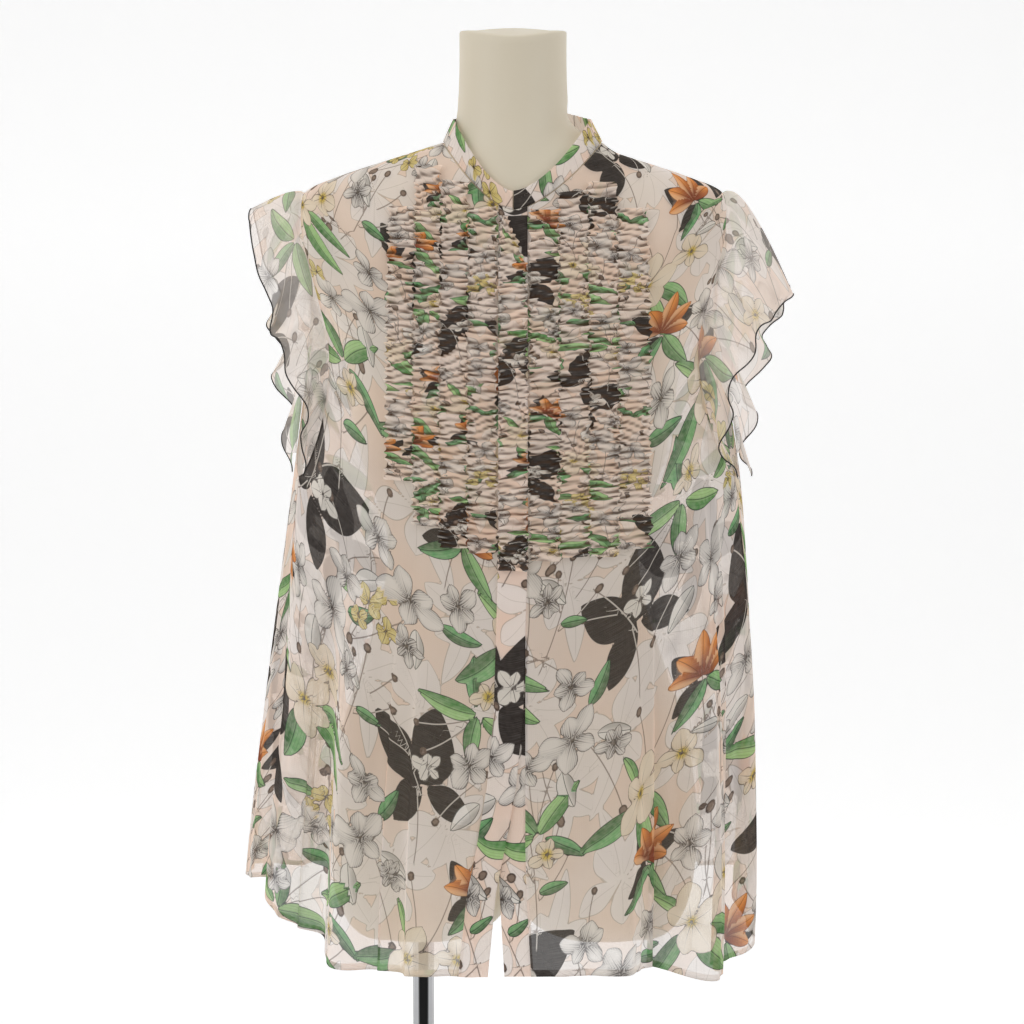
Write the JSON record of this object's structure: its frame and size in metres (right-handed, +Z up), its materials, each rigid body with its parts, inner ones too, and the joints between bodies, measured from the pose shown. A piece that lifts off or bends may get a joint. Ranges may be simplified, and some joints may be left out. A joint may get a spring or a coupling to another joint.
{
  "type": "sleeveless blouse on dress form",
  "caption": "Sheer printed blouse with a stand collar, ruffled bib and flutter flounces, worn on a limbless torso form with a pole and a round foot plate.",
  "frame": {"origin": "middle of the foot plate's underside, on the floor", "axes": "+Z up through the neck, -Y the way the wearer faces, +X the wearer's left"},
  "size_m": [0.4962, 0.3442, 1.092],
  "materials": {
    "chiffon": "sheer, matt, printed with leaves and flowers",
    "gathered_chiffon": "sheer, matt, printed and finely gathered",
    "torso": "smooth satin cream",
    "steel": "polished"
  },
  "bodies": {
    "root": {"front_right": "chiffon", "front_left": "chiffon", "back": "chiffon", "placket_overlap": "chiffon", "placket_underlap": "chiffon", "collar": "chiffon", "flounce_left": "chiffon", "flounce_right": "chiffon", "ruffle_right_1": "gathered_chiffon", "ruffle_right_2": "gathered_chiffon", "ruffle_right_3": "gathered_chiffon", "ruffle_right_4": "gathered_chiffon", "ruffle_left_1": "gathered_chiffon", "ruffle_left_2": "gathered_chiffon", "ruffle_left_3": "gathered_chiffon", "ruffle_left_4": "gathered_chiffon", "ruffle_placket": "gathered_chiffon", "torso": "torso", "pole": "steel", "foot_plate": "steel", "pole_socket": "steel"}
  },
  "joints": []
}
